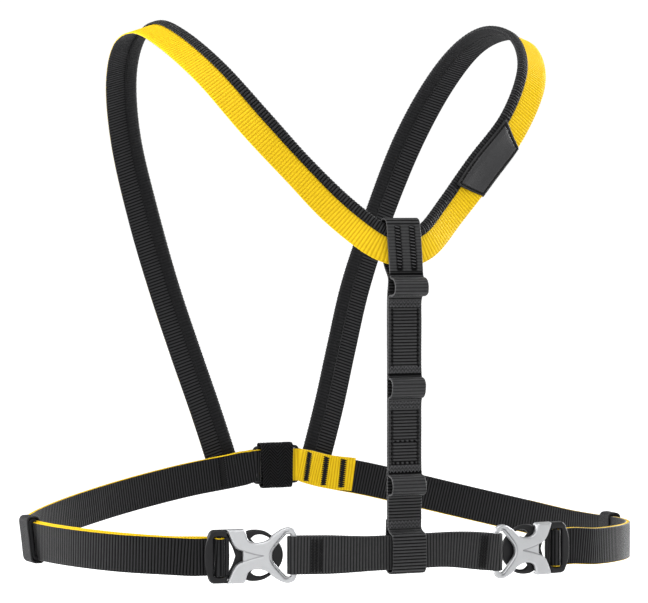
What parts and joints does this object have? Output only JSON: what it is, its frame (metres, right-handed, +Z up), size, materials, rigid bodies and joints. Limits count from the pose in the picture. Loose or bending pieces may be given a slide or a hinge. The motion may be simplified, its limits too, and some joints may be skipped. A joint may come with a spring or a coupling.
{
  "type": "chest harness with shoulder straps",
  "caption": "Webbing chest harness: bicolour shoulder straps run from a front riser with gear loops to a rear ring, on a belt closed by metal and plastic side buckles.",
  "frame": {"origin": "midway between the two places where the straps sit on top of the shoulders", "axes": "+Z up the body, -Y to the wearer's front, +X to the wearer's left"},
  "size_m": [0.4488, 0.2858, 0.3816],
  "materials": {
    "two_tone_webbing": "ribbed webbing, yellow outside and black inside",
    "black_webbing": "ribbed black webbing with sewn seams",
    "binding": "ribbed black edge tape, slightly padded",
    "patch": "smooth black coated tab with a sewn border",
    "elastic": "woven elastic",
    "plastic": "moulded, semi-gloss",
    "aluminium": "satin, tumbled edges"
  },
  "bodies": {
    "root": {"shoulder_webbing": "two_tone_webbing", "edge_binding": "binding", "side_patch": "patch", "front_riser": "black_webbing", "chest_strap": "black_webbing", "buckle_metal_left": "aluminium", "buckle_metal_right": "aluminium", "buckle_frame_left": "plastic", "buckle_frame_right": "plastic", "belt_left": "two_tone_webbing", "belt_right": "two_tone_webbing", "keeper_left": "elastic", "keeper_right": "elastic", "rear_ring": "plastic", "rear_sleeve": "elastic"}
  },
  "joints": []
}
